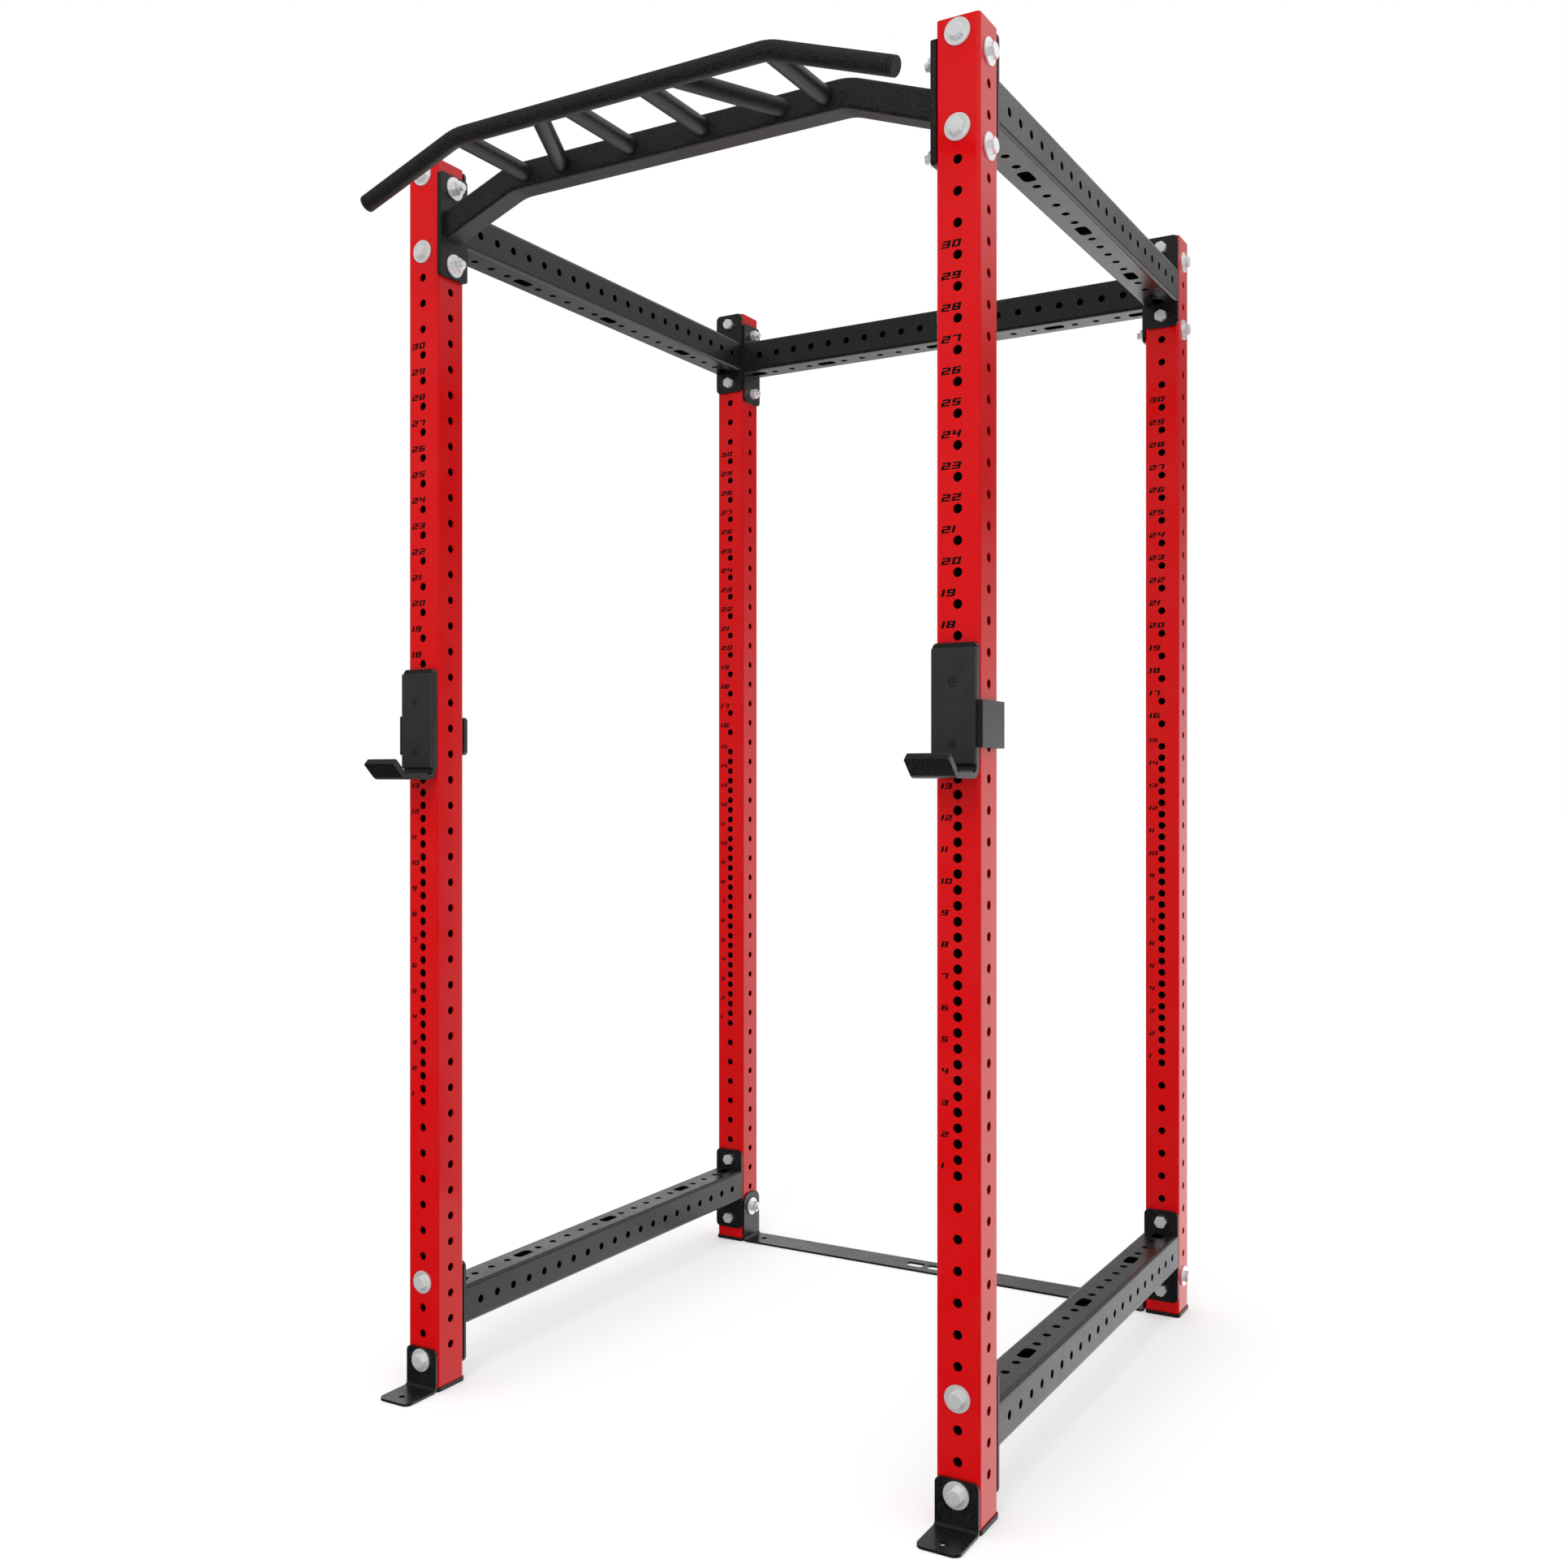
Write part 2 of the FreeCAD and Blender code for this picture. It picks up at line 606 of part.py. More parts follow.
# ---------------------------------------------------------------------------
# J-hooks (right one modelled, left one mirrored)
# ---------------------------------------------------------------------------
s2 = math.sqrt(0.5)
yb = -J_BACK                        # rear face of the steel
yf = yb - J_T                       # front face of the steel
tip_out = (J_TIP_Y, J_LIP - J_TIP_Y)
tip_in = (tip_out[0] + J_T * s2, tip_out[1] + J_T * s2)
lip_in = tip_in[0] + tip_in[1]      # inner face of the lip: Y + Z = lip_in
TRAY = J_BOT + J_T

profile = rounded_wire(
    [(yb, J_TOP), (yb, J_BOT), (J_LIP - J_BOT, J_BOT), tip_out, tip_in,
     (lip_in - TRAY, TRAY), (yf, TRAY), (yf, J_TOP)],
    [0, 2 * J_T, 2 * J_T, 0, 0, J_T, J_T, 0])
plate = prism(profile, [], "YZ", JX0, JX1 - JX0)
for x in (JX0, JX1):
    plate = round_edges(plate, 8.0, by_position(along="y", x=x, z=J_TOP))
    plate = round_edges(plate, LIP_CORNER_R, by_position(x=x, y=(tip_out[0] + tip_in[0]) / 2,
                                                z=(tip_out[1] + tip_in[1]) / 2))
SCREW_Z = (1355.0, 1256.3)
SCREW_R = 4.0
lip_hole = V(HALF, -719.9, 1221.4)
tools = [Part.makeCylinder(SCREW_R, 40, V(HALF, yb + 10, z), V(0, -1, 0)) for z in SCREW_Z]
tools.append(Part.makeCylinder(1.5, 40, lip_hole - V(0, s2, s2) * 5, V(0, 1, 1)))
plate = one_solid(plate.cut(tools))
add("jhook_plate_right", plate)

# hinge pin, butt welded to the rear of the plate
PIN_END = -560.0
pin = Part.makeCylinder(PIN_R, PIN_END - yb, V(HALF, yb, PIN_Z), V(0, 1, 0))
pin = chamfer_edges(pin, 1.6, lambda e: abs(e.CenterOfMass.y - PIN_END) < 0.01)
add("jhook_pin_right", one_solid(pin))

# saddle round the outer side and back of the upright
SAD_T = 10.2
SAD_Z0, SAD_Z1 = 1251.0, 1326.8
sx1 = JX1 + SAD_T
yr = -FACE_IN + 0.3
profile = rounded_wire(
    [(JX1, yf), (sx1, yf), (sx1, yr + SAD_T), (FACE_IN, yr + SAD_T), (FACE_IN, yr), (JX1, yr)],
    [0, 0, 10.0, 0, 0, 1.0])
saddle = prism(profile, [], "XY", SAD_Z0, SAD_Z1 - SAD_Z0)
for z in (SAD_Z0, SAD_Z1):
    saddle = round_edges(saddle, 8.0, by_position(along="y", x=FACE_IN, z=z))
add("jhook_saddle_right", one_solid(saddle))

# plastic liners
LB_Z0 = 1223.6
back = prism(rounded_wire([(FACE_IN, LB_Z0), (FACE_OUT, LB_Z0), (FACE_OUT, J_TOP), (FACE_IN, J_TOP)],
                          [3.0, 3.0, 8.0, 8.0]),
             [circle_wire(HALF, PIN_Z, HOLE_R + 1.0)],
             "XZ", -FACE_OUT - LINER_BACK_GAP, 3.2 - LINER_BACK_GAP)
add("jhook_back_liner_right", back)

LF_Z0, LF_Z1 = 1224.4, 1410.3
SINK_R, SINK_D = 7.4, 4.2           # the screw heads sit in counterbores
front = prism(rounded_wire([(JX0 + 0.4, LF_Z0), (FACE_OUT, LF_Z0), (FACE_OUT, LF_Z1), (JX0 + 0.4, LF_Z1)], 3.0),
              [circle_wire(HALF, z, SCREW_R + 0.3) for z in SCREW_Z],
              "XZ", yf, LF_T)
front = chamfer_edges(front, 2.0, by_position(along="x", y=yf - LF_T, z=LF_Z1))
front = front.cut([Part.makeCylinder(SINK_R, SINK_D + 1, V(HALF, yf - LF_T - 1, z), V(0, 1, 0)) for z in SCREW_Z])
add("jhook_front_liner_right", one_solid(front))

tray_pts = [(FACE_IN, -690.5), (FACE_OUT, -690.5), (FACE_OUT, -635.0), (FACE_IN, -635.0)]
tray = prism(rounded_wire(tray_pts, 3.0), [], "XY", TRAY, 3.2)
notches = [Part.makeBox(14, 4, 10, V(HALF - 7, -692.5, TRAY - 2)),
           Part.makeBox(14, 4, 10, V(HALF - 7, -637.0, TRAY - 2))]
add("jhook_tray_liner_right", one_solid(tray.cut(notches)))

# lip liner on the inner face of the lip
foot_y = lip_in - TRAY - J_T * math.tan(math.radians(22.5)) * s2 - 1.0
foot = (foot_y, lip_in - foot_y)
prof = rounded_wire([foot, tip_in, (tip_in[0] + 3.2 * s2, tip_in[1] + 3.2 * s2),
                     (foot[0] + 3.2 * s2, foot[1] + 3.2 * s2)], 0)
lipl = prism(prof, [], "YZ", FACE_IN, TUBE)
for x in (FACE_IN, FACE_OUT):
    lipl = round_edges(lipl, LIP_CORNER_R, by_position(x=x, y=tip_in[0] + 1.6 * s2, z=tip_in[1] + 1.6 * s2))
add("jhook_lip_liner_right", one_solid(lipl))

# socket screws holding the front liner, heads just below its face
screws = []
for z in SCREW_Z:
    y_seat = yf - LF_T + SINK_D
    y_face = y_seat - 3.9
    head = Part.makeCylinder(6.5, 3.9, V(HALF, y_face, z), V(0, 1, 0))
    head = round_edges(head, 0.5, lambda e: abs(e.CenterOfMass.y - y_face) < 0.01)
    socket = oriented(hex_prism(4.0, 3.0), V(HALF, y_face + 2.2, z), V(0, -1, 0))
    shank = Part.makeCylinder(SCREW_R - 0.1, yb - y_seat, V(HALF, y_seat, z), V(0, 1, 0))
    screws.append(one_solid(head.cut(socket).fuse(shank)))
add("jhook_screws_right", Part.makeCompound(screws))

for name in [n for n in NODES if n.startswith("jhook_")]:
    add(name.replace("_right", "_left"), mirror_x(NODES[name]))

# ---------------------------------------------------------------------------
# write every piece, moved into the centred frame
# ---------------------------------------------------------------------------
for name, shape in NODES.items():
    out = shape.copy()
    out.translate(V(0, Y_SHIFT, 0))
    out.exportStep("parts/%s.step" % name)
    if not out.isValid():
        print("INVALID", name)
    print("%-34s solids %2d  volume %10.1f cm3" % (name, len(out.Solids), out.Volume / 1000.0))
print("nodes", len(NODES), "Y_SHIFT", Y_SHIFT)
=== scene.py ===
import bpy
import json
import math
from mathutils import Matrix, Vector


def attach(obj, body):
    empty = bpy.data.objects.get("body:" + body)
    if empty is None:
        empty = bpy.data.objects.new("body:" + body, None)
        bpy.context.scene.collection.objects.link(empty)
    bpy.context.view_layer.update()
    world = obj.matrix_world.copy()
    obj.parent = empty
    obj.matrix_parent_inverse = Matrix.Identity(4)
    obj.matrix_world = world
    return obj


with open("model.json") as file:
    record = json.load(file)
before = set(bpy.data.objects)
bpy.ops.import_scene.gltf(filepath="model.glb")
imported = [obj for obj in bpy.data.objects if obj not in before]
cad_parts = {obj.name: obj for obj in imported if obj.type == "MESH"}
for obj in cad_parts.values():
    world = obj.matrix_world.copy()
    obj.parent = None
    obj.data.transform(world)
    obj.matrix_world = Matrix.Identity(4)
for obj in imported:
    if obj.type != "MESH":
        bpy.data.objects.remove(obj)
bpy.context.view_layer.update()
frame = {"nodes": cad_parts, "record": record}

# ---------------------------------------------------------------------------
# measurements of the cage, in metres (the row frame)
# ---------------------------------------------------------------------------
Y_SHIFT = 0.08255
HALF = 0.5715
TUBE = 0.0762
GRID_Z0 = 0.008
PITCH = 0.0254


def Y(y):
    return y + Y_SHIFT


# ---------------------------------------------------------------------------
# material helpers
# ---------------------------------------------------------------------------

class Mat:
    def __init__(self, name):
        self.m = bpy.data.materials.new(name)
        self.m.use_nodes = True
        self.t = self.m.node_tree
        self.t.nodes.clear()
        self.out = self.t.nodes.new("ShaderNodeOutputMaterial")
        self.b = self.t.nodes.new("ShaderNodeBsdfPrincipled")
        self.t.links.new(self.b.outputs[0], self.out.inputs[0])
        self.tc = self.t.nodes.new("ShaderNodeTexCoord")

    def node(self, kind):
        return self.t.nodes.new(kind)

    def link(self, a, b):
        self.t.links.new(a, b)

    def coords(self, scale=(1, 1, 1)):
        mp = self.node("ShaderNodeMapping")
        mp.inputs["Scale"].default_value = scale
        self.link(self.tc.outputs["Object"], mp.inputs["Vector"])
        return mp.outputs["Vector"]

    def noise(self, size_m, detail=2.0, rough=0.5, coords=None, distortion=0.0):
        n = self.node("ShaderNodeTexNoise")
        n.inputs["Scale"].default_value = 1.0 / size_m
        n.inputs["Detail"].default_value = detail
        n.inputs["Roughness"].default_value = rough
        n.inputs["Distortion"].default_value = distortion
        self.link(coords if coords is not None else self.tc.outputs["Object"], n.inputs["Vector"])
        return n.outputs["Fac"]

    def span(self, value, lo, hi, out_lo, out_hi):
        r = self.node("ShaderNodeMapRange")
        r.inputs["From Min"].default_value = lo
        r.inputs["From Max"].default_value = hi
        r.inputs["To Min"].default_value = out_lo
        r.inputs["To Max"].default_value = out_hi
        self.link(value, r.inputs["Value"])
        return r.outputs["Result"]

    def mix(self, fac, a, b):
        m = self.node("ShaderNodeMix")
        m.data_type = "RGBA"
        if isinstance(fac, (int, float)):
            m.inputs[0].default_value = fac
        else:
            self.link(fac, m.inputs[0])
        for sock, v in ((m.inputs[6], a), (m.inputs[7], b)):
            if isinstance(v, tuple):
                sock.default_value = v
            else:
                self.link(v, sock)
        return m.outputs[2]

    def math(self, op, a, b=0.0):
        m = self.node("ShaderNodeMath")
        m.operation = op
        for sock, v in ((m.inputs[0], a), (m.inputs[1], b)):
            if isinstance(v, (int, float)):
                sock.default_value = v
            else:
                self.link(v, sock)
        return m.outputs[0]

    def bump(self, height, distance, strength=1.0, normal=None):
        b = self.node("ShaderNodeBump")
        b.inputs["Distance"].default_value = distance
        b.inputs["Strength"].default_value = strength
        self.link(height, b.inputs["Height"])
        if normal is not None:
            self.link(normal, b.inputs["Normal"])
        return b.outputs["Normal"]

    def base(self, **kw):
        for k, v in kw.items():
            self.b.inputs[k.replace("_", " ")].default_value = v


def c4(r, g, b):
    return (r, g, b, 1.0)


def powder(name, dark, light, rough, ior, grain=0.0015, bump_mm=0.05, speck=0.6, rough_span=0.08,
           coarse=0.0034, coarse_part=0.45):
    """Sprayed sand-texture powder coat: grain of two sizes in colour, sheen and relief."""
    m = Mat(name)
    g = m.noise(grain, 2.0, 0.55)
    g2 = m.noise(coarse, 2.0, 0.6)
    large = m.noise(0.11, 3.0, 0.55)
    grains = m.math("ADD", m.math("MULTIPLY", g, 1.0 - coarse_part), m.math("MULTIPLY", g2, coarse_part))
    m.link(m.mix(m.span(grains, 0.5 - speck * 0.25, 0.5 + speck * 0.25, 0.0, 1.0), dark, light),
           m.b.inputs["Base Color"])
    r = m.math("ADD", m.span(large, 0.35, 0.65, rough - rough_span * 0.4, rough + rough_span * 0.4),
               m.span(g2, 0.3, 0.7, -rough_span, rough_span))
    m.link(r, m.b.inputs["Roughness"])
    n = m.bump(grains, bump_mm / 1000.0)
    m.link(n, m.b.inputs["Normal"])
    m.base(IOR=ior)
    return m.m


def plastic(name, dark, light, rough, ior=1.45):
    """Moulded or milled plastic: fine grain over a faint uneven sheen."""
    m = Mat(name)
    fine = m.noise(0.0018, 2.0, 0.55)
    scuff = m.noise(0.03, 3.0, 0.6)
    m.link(m.mix(m.span(m.math("ADD", m.math("MULTIPLY", fine, 0.8), m.math("MULTIPLY", scuff, 0.2)),
                        0.40, 0.60, 0.0, 1.0), dark, light), m.b.inputs["Base Color"])
    m.link(m.span(scuff, 0.35, 0.65, rough - 0.03, rough + 0.03), m.b.inputs["Roughness"])
    m.link(m.bump(fine, 0.00006), m.b.inputs["Normal"])
    m.base(IOR=ior)
    return m.m


def metal(name, dark, light, rough, metallic, grain=0.0006, bump_mm=0.01, cloud_size=0.018):
    """Plated or turned metal: faint clouding, fine grain, no coarse relief."""
    m = Mat(name)
    fine = m.noise(grain, 3.0, 0.6)
    cloud = m.noise(cloud_size, 3.0, 0.5)
    m.link(m.mix(m.span(m.math("ADD", m.math("MULTIPLY", fine, 0.3), m.math("MULTIPLY", cloud, 0.7)),
                        0.36, 0.64, 0.0, 1.0), dark, light), m.b.inputs["Base Color"])
    m.link(m.span(cloud, 0.3, 0.7, rough - 0.04, rough + 0.05), m.b.inputs["Roughness"])
    m.link(m.bump(fine, bump_mm / 1000.0), m.b.inputs["Normal"])
    m.base(Metallic=metallic)
    return m.m


def void(name):
    """Painted shade for the inside of a tube: near black, matte, with no specular reflection."""
    m = Mat(name)
    g = m.noise(0.004, 2.0, 0.5)
    m.link(m.mix(g, c4(0.0004, 0.0004, 0.0004), c4(0.0012, 0.0012, 0.0012)), m.b.inputs["Base Color"])
    m.base(Roughness=0.95)
    m.b.inputs["Specular IOR Level"].default_value = 0.0
    return m.m


RED = powder("red_powder_coat", c4(0.533, 0.0004, 0.0018), c4(0.557, 0.0012, 0.0028),
             0.15, 1.50, bump_mm=0.060, speck=0.8)
BLACK = powder("black_powder_coat", c4(0.0008, 0.0008, 0.0009), c4(0.0185, 0.0183, 0.0181),
               0.29, 1.60, bump_mm=0.140, speck=0.6)
GRIP = powder("black_grip_coat", c4(0.0010, 0.0010, 0.0011), c4(0.0230, 0.0228, 0.0226),
              0.44, 1.50, grain=0.0015, coarse=0.0030, bump_mm=0.140, speck=0.6)
LINER = plastic("liner_plastic", c4(0.018, 0.018, 0.0182), c4(0.029, 0.029, 0.029), 0.55)
PLASTIC = plastic("black_plastic", c4(0.010, 0.010, 0.010), c4(0.018, 0.018, 0.018), 0.42)
ZINC = metal("zinc_hardware", c4(0.88, 0.883, 0.887), c4(0.94, 0.942, 0.945), 0.20, 0.55,
             grain=0.0016, bump_mm=0.0006, cloud_size=0.045)
SCREW = metal("black_screws", c4(0.020, 0.020, 0.0202), c4(0.027, 0.027, 0.027), 0.50, 0.1)
PIN = metal("pin_steel", c4(0.32, 0.32, 0.33), c4(0.42, 0.42, 0.43), 0.32, 0.9)
PAINT = plastic("number_paint", c4(0.0012, 0.0012, 0.0014), c4(0.0026, 0.0026, 0.0028), 0.55, ior=1.35)
# near-black material that paints the shade inside the perforated tubes
TUBE_SHADE_PAINT = void("painted_shade_tube_inside")
BY_SLOT = {"red_powder_coat": RED, "black_powder_coat": BLACK, "black_grip_coat": GRIP,
           "liner_plastic": LINER, "black_plastic": PLASTIC, "zinc_hardware": ZINC,
           "black_screws": SCREW, "pin_steel": PIN}

slots = {s["node"]: s["material_slot"] for s in frame["record"]["subparts"]}
for node, obj in frame["nodes"].items():
    mat = BY_SLOT[slots[node]]
    if not obj.data.materials:
        obj.data.materials.append(mat)
    for i in range(len(obj.data.materials)):
        obj.data.materials[i] = mat

# ---------------------------------------------------------------------------
# printed height numbers, on the front face of every upright
# ---------------------------------------------------------------------------
SEGMENTS = {  # top, upper left, upper right, middle, lower left, lower right, bottom
    "0": (1, 1, 1, 0, 1, 1, 1), "2": (1, 0, 1, 1, 1, 0, 1), "3": (1, 0, 1, 1, 0, 1, 1),
    "4": (0, 1, 1, 1, 0, 1, 0), "5": (1, 1, 0, 1, 0, 1, 1), "6": (1, 1, 0, 1, 1, 1, 1),
    "7": (1, 0, 1, 0, 0, 1, 0), "8": (1, 1, 1, 1, 1, 1, 1), "9": (1, 1, 1, 1, 0, 1, 1)}


def digit_cells(ch):
    if ch == "1":
        return [[1], [1], [1], [1], [1]]
    top, ul, ur, mid, ll, lr, bot = SEGMENTS[ch]
    return [[1 if (bot or ll) else 0, bot, 1 if (bot or lr) else 0],
            [ll, 0, lr],
            [1 if (mid or ul or ll) else 0, mid, 1 if (mid or ur or lr) else 0],
            [ul, 0, ur],
            [1 if (top or ul) else 0, top, 1 if (top or ur) else 0]]


def solid_from_cells(verts, faces, xs, zs, cells, x0, z0, slant, y_front, y_back):
    """Closed raised plate over the filled cells of a grid."""
    idx = {}

    def vid(i, j, back):
        key = (i, j, back)
        if key not in idx:
            idx[key] = len(verts)
            verts.append((x0 + xs[i] + zs[j] * slant, y_back if back else y_front, z0 + zs[j]))
        return idx[key]

    rows, cols = len(zs) - 1, len(xs) - 1

    def filled(i, j):
        return 0 <= i < cols and 0 <= j < rows and cells[j][i]

    for j in range(rows):
        for i in range(cols):
            if not filled(i, j):
                continue
            faces.append((vid(i, j, 0), vid(i + 1, j, 0), vid(i + 1, j + 1, 0), vid(i, j + 1, 0)))
            faces.append((vid(i, j, 1), vid(i, j + 1, 1), vid(i + 1, j + 1, 1), vid(i + 1, j, 1)))
            if not filled(i, j - 1):
                faces.append((vid(i, j, 0), vid(i, j, 1), vid(i + 1, j, 1), vid(i + 1, j, 0)))
            if not filled(i, j + 1):
                faces.append((vid(i, j + 1, 0), vid(i + 1, j + 1, 0), vid(i + 1, j + 1, 1), vid(i, j + 1, 1)))
            if not filled(i - 1, j):
                faces.append((vid(i, j, 0), vid(i, j + 1, 0), vid(i, j + 1, 1), vid(i, j, 1)))
            if not filled(i + 1, j):
                faces.append((vid(i + 1, j, 0), vid(i + 1, j, 1), vid(i + 1, j + 1, 1), vid(i + 1, j + 1, 0)))


def new_piece(name, verts, faces, mat, body="frame", smooth=False):
    me = bpy.data.meshes.new(name)
    me.from_pydata(verts, [], faces)
    me.validate()
    me.update()
    for p in me.polygons:
        p.use_smooth = smooth
    ob = bpy.data.objects.new(name, me)
    bpy.context.scene.collection.objects.link(ob)
    ob.data.materials.append(mat)
    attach(ob, body)
    return ob


for key, sx, sy in (("front_left", -1, -1), ("front_right", 1, -1), ("rear_left", -1, 1), ("rear_right", 1, 1)):
    verts, faces = [], []
    y_face = Y(sy * HALF - TUBE / 2)
    for k in range(1, 31):
        h = 0.0115 if k > 15 else 0.0090
        above = 0.0186 if k > 15 else 0.0137
        z_mid = GRID_Z0 + PITCH * (20 + 2 * k) + above
        thick_v, thick_h, width, gap = 0.40 * h, 0.21 * h, 1.26 * h, 0.33 * h
        x = sx * HALF - (0.0290 if k > 15 else 0.0292)
        for ch in str(k):
            if ch == "1":
                xs = [0.0, 0.42 * h]
            else:
                xs = [0.0, thick_v, width - thick_v, width]
            zs = [0.0, thick_h, (h - thick_h) / 2, (h + thick_h) / 2, h - thick_h, h]
            solid_from_cells(verts, faces, xs, zs, digit_cells(ch), x, z_mid - h / 2, 0.29,
                             y_face - 0.00012, y_face + 0.00005)
            x += xs[-1] + gap
    new_piece("height_numbers_" + key, verts, faces, PAINT)

# ---------------------------------------------------------------------------
# painted shade: a near-black skin just inside the wall of every perforated tube, so that its
# holes read as black as they do on the closed tube
# ---------------------------------------------------------------------------

def tube_skin(name, axis, centre, start, end):
    """Closed thin-walled rounded tube along an axis, from start to end."""
    verts, faces = [], []
    ring = []
    for half, r in ((0.0347, 0.0036), (0.0339, 0.0028)):
        loop = []
        for cx, cy, a0 in ((1, 1, 0), (-1, 1, 90), (-1, -1, 180), (1, -1, 270)):
            for k in range(5):
                a = math.radians(a0 + 22.5 * k)
                loop.append((cx * (half - r) + r * math.cos(a), cy * (half - r) + r * math.sin(a)))
        ring.append(loop)
    n = len(ring[0])
    for at in (start, end):
        for loop in ring:
            for u, v in loop:
                if axis == "z":
                    verts.append((centre[0] + u, centre[1] + v, at))
                elif axis == "y":
                    verts.append((centre[0] + u, at, centre[1] + v))
                else:
                    verts.append((at, centre[0] + u, centre[1] + v))
    for i in range(n):
        j = (i + 1) % n
        faces.append((i, j, 2 * n + j, 2 * n + i))                      # outside
        faces.append((n + j, n + i, 3 * n + i, 3 * n + j))              # inside
        faces.append((n + i, n + j, j, i))                              # start edge
        faces.append((2 * n + i, 2 * n + j, 3 * n + j, 3 * n + i))      # end edge
    if axis == "y":
        faces = [tuple(reversed(f)) for f in faces]
    # the skin carries the painted-shade material
    return new_piece(name, verts, faces, TUBE_SHADE_PAINT)


TOP = 2.421
PIN_Z = GRID_Z0 + PITCH * 54
CM_HALF = HALF - TUBE / 2 - 0.00635
# skins of painted shade inside the uprights and the crossmembers
for key, sx, sy in (("front_left", -1, -1), ("front_right", 1, -1), ("rear_left", -1, 1), ("rear_right", 1, 1)):
    c = (sx * HALF, Y(sy * HALF))
    if sy < 0:
        tube_skin("tube_inside_%s_lower" % key, "z", c, 0.034, PIN_Z - 0.0125)
        tube_skin("tube_inside_%s_upper" % key, "z", c, PIN_Z + 0.0125, TOP - 0.017)
    else:
        tube_skin("tube_inside_%s" % key, "z", c, 0.034, TOP - 0.017)
for key, sx, z in (("upper_left", -1, 2.3067), ("upper_right", 1, 2.3067),
                   ("lower_left", -1, 0.1477), ("lower_right", 1, 0.1477)):
    tube_skin("tube_inside_crossmember_%s" % key, "y", (sx * HALF, z),
              Y(-CM_HALF + 0.0005), Y(CM_HALF - 0.0005))
tube_skin("tube_inside_crossmember_rear", "x", (Y(HALF), 2.3067), -CM_HALF + 0.0005, CM_HALF - 0.0005)

# ---------------------------------------------------------------------------
# floor, light and camera
# ---------------------------------------------------------------------------
me = bpy.data.meshes.new("floor")
S = 60.0
me.from_pydata([(-S, -S, -0.0005), (S, -S, -0.0005), (S, S, -0.0005), (-S, S, -0.0005)], [], [(0, 1, 2, 3)])
floor = bpy.data.objects.new("floor", me)
bpy.context.scene.collection.objects.link(floor)
fm = Mat("floor_white")
fm.base(Base_Color=c4(0.66, 0.66, 0.66), Roughness=0.9, Emission_Color=c4(1, 1, 1), Emission_Strength=0.36)
fm.b.inputs["Specular IOR Level"].default_value = 0.0
me.materials.append(fm.m)
floor.visible_glossy = False

# reflection dome: a big shell that only polished and satin surfaces see
dm = Mat("reflection_dome")
dm.t.nodes.remove(dm.b)
em = dm.node("ShaderNodeEmission")
sep = dm.node("ShaderNodeSeparateXYZ")
nrm = dm.node("ShaderNodeVectorMath")
nrm.operation = "NORMALIZE"
dm.link(dm.tc.outputs["Object"], nrm.inputs[0])
dm.link(nrm.outputs[0], sep.inputs[0])
x, y, z = sep.outputs
behind = dm.span(y, 0.12, 0.45, 0.0, 1.0)
# pale ground behind the cage, fading out above the horizon and to both sides
ground = dm.math("MULTIPLY", dm.span(z, -0.05, 0.21, 1.2, 0.08), behind)
ground = dm.math("MULTIPLY", ground, dm.span(x, 0.50, 0.70, 1.0, 0.50))
ground = dm.math("MULTIPLY", ground, dm.span(x, -0.28, -0.66, 1.0, 0.20))
# softbox high on the right behind, and a broad one low on the left behind
high = dm.math("MULTIPLY", dm.span(z, 0.27, 0.42, 0.0, 0.95), dm.span(x, -0.28, 0.05, 0.0, 1.0))
high = dm.math("MULTIPLY", high, dm.span(y, -0.3, 0.5, 0.5, 1.0))
left = dm.math("MULTIPLY", dm.span(x, -0.18, -0.46, 0.10, 1.15), behind)
left = dm.math("MULTIPLY", left, dm.math("MULTIPLY", dm.span(z, 0.12, 0.22, 0.25, 1.1), dm.span(z, 0.37, 0.43, 1.0, 0.10)))
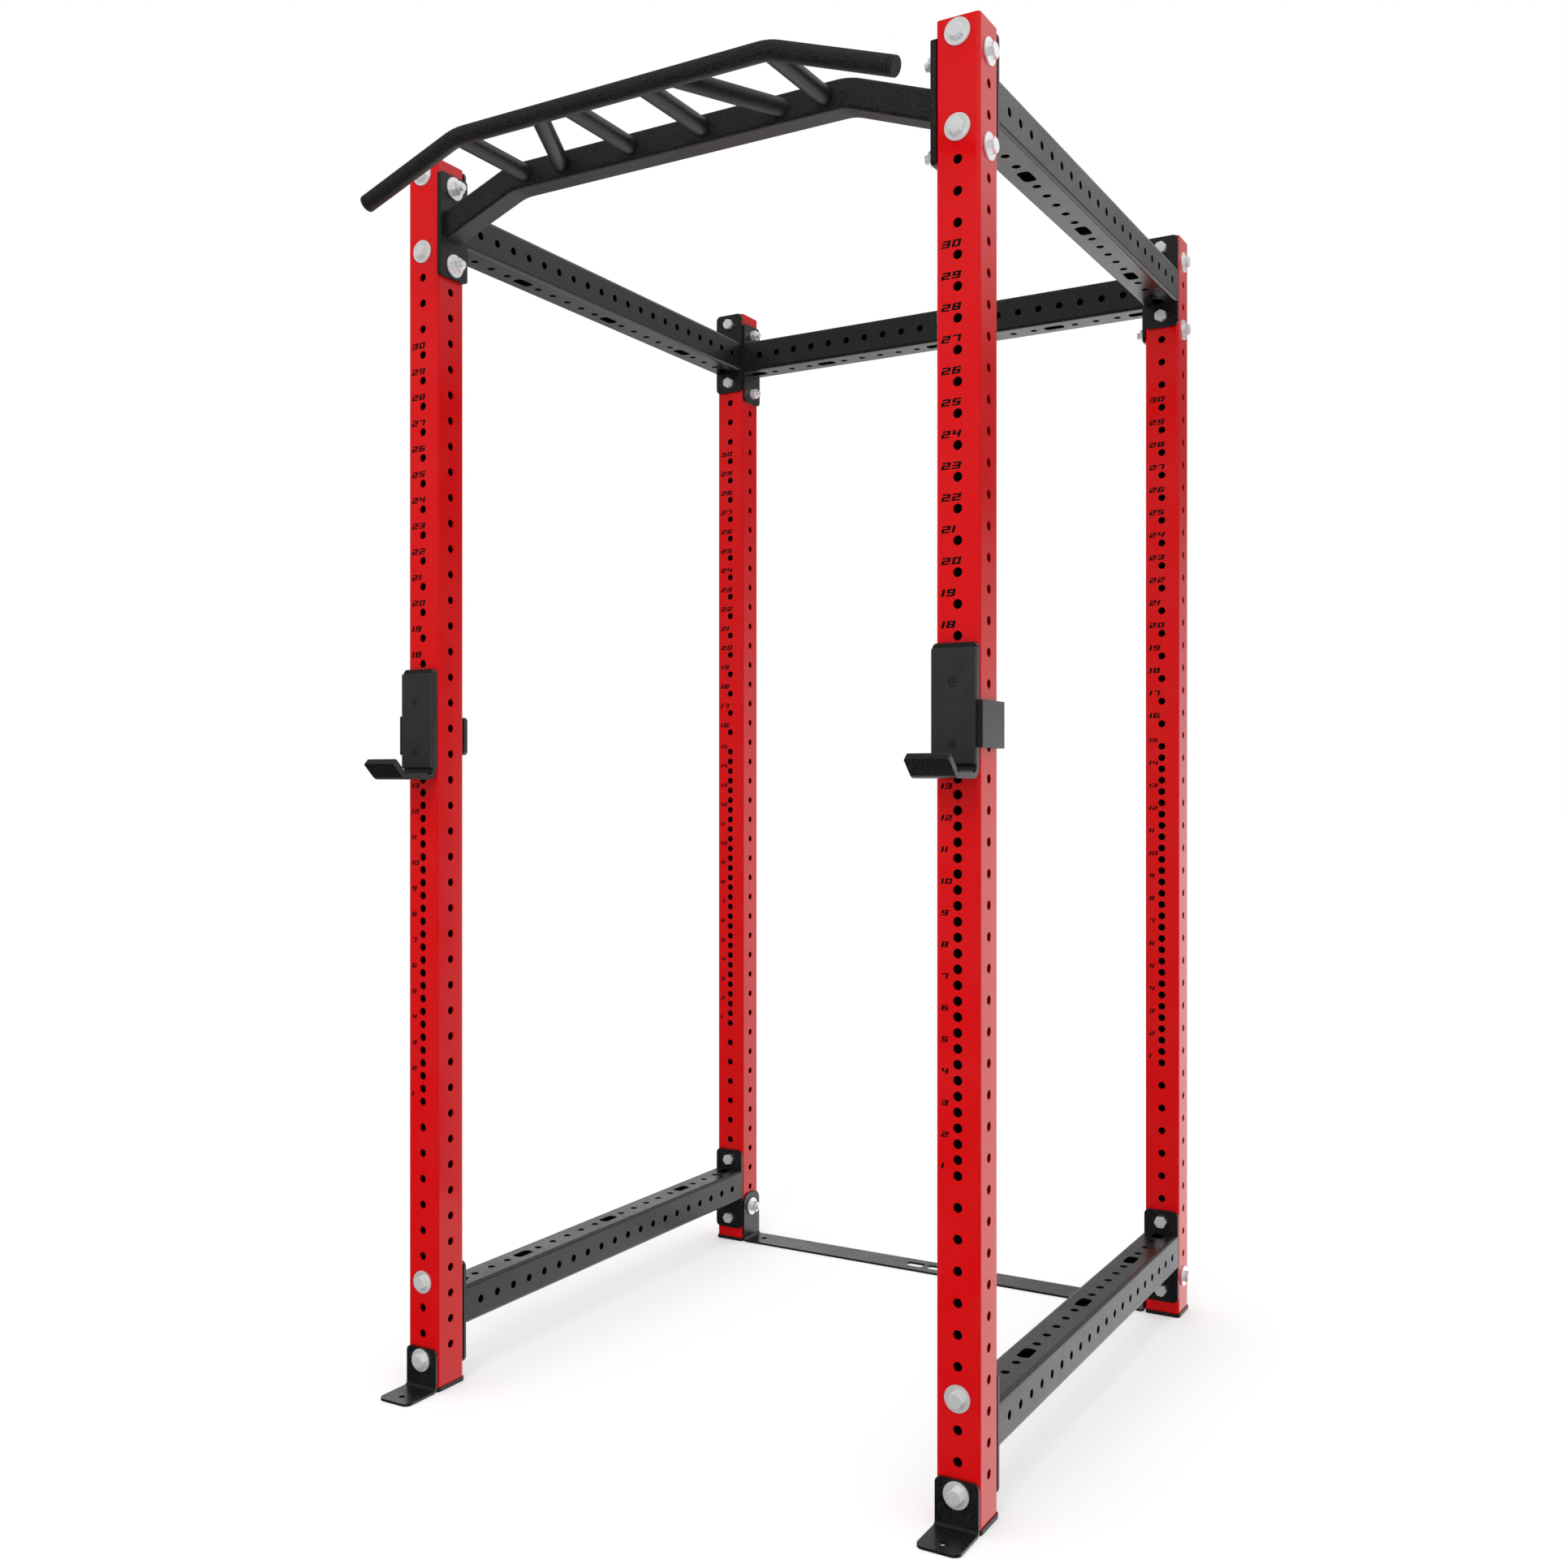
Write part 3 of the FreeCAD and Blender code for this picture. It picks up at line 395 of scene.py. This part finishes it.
# faint light in front, a little stronger above
front = dm.math("MULTIPLY", dm.span(z, -0.35, 0.35, 0.0, 0.24), dm.span(y, 0.12, 0.45, 1.0, 0.3))
total = dm.math("MAXIMUM", dm.math("MAXIMUM", ground, high), dm.math("MAXIMUM", left, front))
dm.link(total, em.inputs["Strength"])
dm.link(em.outputs[0], dm.out.inputs[0])
dm.m.cycles.emission_sampling = "NONE"
verts, faces = [], []
NU, NV, R = 48, 24, 30.0
for j in range(1, NV):
    a = math.pi * j / NV
    for i in range(NU):
        b = 2 * math.pi * i / NU
        verts.append((R * math.sin(a) * math.cos(b), R * math.sin(a) * math.sin(b), R * math.cos(a)))
verts += [(0, 0, R), (0, 0, -R)]
for j in range(NV - 2):
    for i in range(NU):
        k = (i + 1) % NU
        faces.append((j * NU + i, j * NU + k, (j + 1) * NU + k, (j + 1) * NU + i))
for i in range(NU):
    k = (i + 1) % NU
    faces.append((len(verts) - 2, k, i))
    faces.append((len(verts) - 1, (NV - 2) * NU + i, (NV - 2) * NU + k))
me = bpy.data.meshes.new("reflection_dome")
me.from_pydata(verts, [], faces)
me.materials.append(dm.m)
dome = bpy.data.objects.new("reflection_dome", me)
bpy.context.scene.collection.objects.link(dome)
dome.location = (0, 0, 1.2)
dome.visible_camera = False
dome.visible_diffuse = False
dome.visible_transmission = False
dome.visible_volume_scatter = False
dome.visible_shadow = False

world = bpy.data.worlds.new("studio")
bpy.context.scene.world = world
world.use_nodes = True
world.node_tree.nodes["Background"].inputs[0].default_value = (1, 1, 1, 1)
world.node_tree.nodes["Background"].inputs[1].default_value = 1.0
world.cycles_visibility.glossy = False


def area(name, loc, target, size, power, glossy=False):
    ld = bpy.data.lights.new(name, "AREA")
    ld.shape = "DISK"
    ld.size = size
    ld.energy = power
    ob = bpy.data.objects.new(name, ld)
    bpy.context.scene.collection.objects.link(ob)
    ob.location = loc
    ob.rotation_euler = (Vector(target) - Vector(loc)).to_track_quat("-Z", "Y").to_euler()
    ob.visible_glossy = glossy
    return ob


area("key", (0.6, -5.0, 4.4), (0, 0, 1.2), 2.4, 80.0)

cam = bpy.data.cameras.new("camera")
cam.lens = 35.0
cam.sensor_width = 36.0
cam.clip_end = 200.0
cam_ob = bpy.data.objects.new("camera", cam)
bpy.context.scene.collection.objects.link(cam_ob)
cam_ob.location = (1.54921, Y(-2.85778), 1.19339)
cam_ob.rotation_euler = (math.radians(90), 0, math.radians(30))
bpy.context.scene.camera = cam_ob

vs = bpy.context.scene.view_settings
vs.view_transform = "Standard"
vs.look = "None"
vs.exposure = 0.0
vs.gamma = 1.0
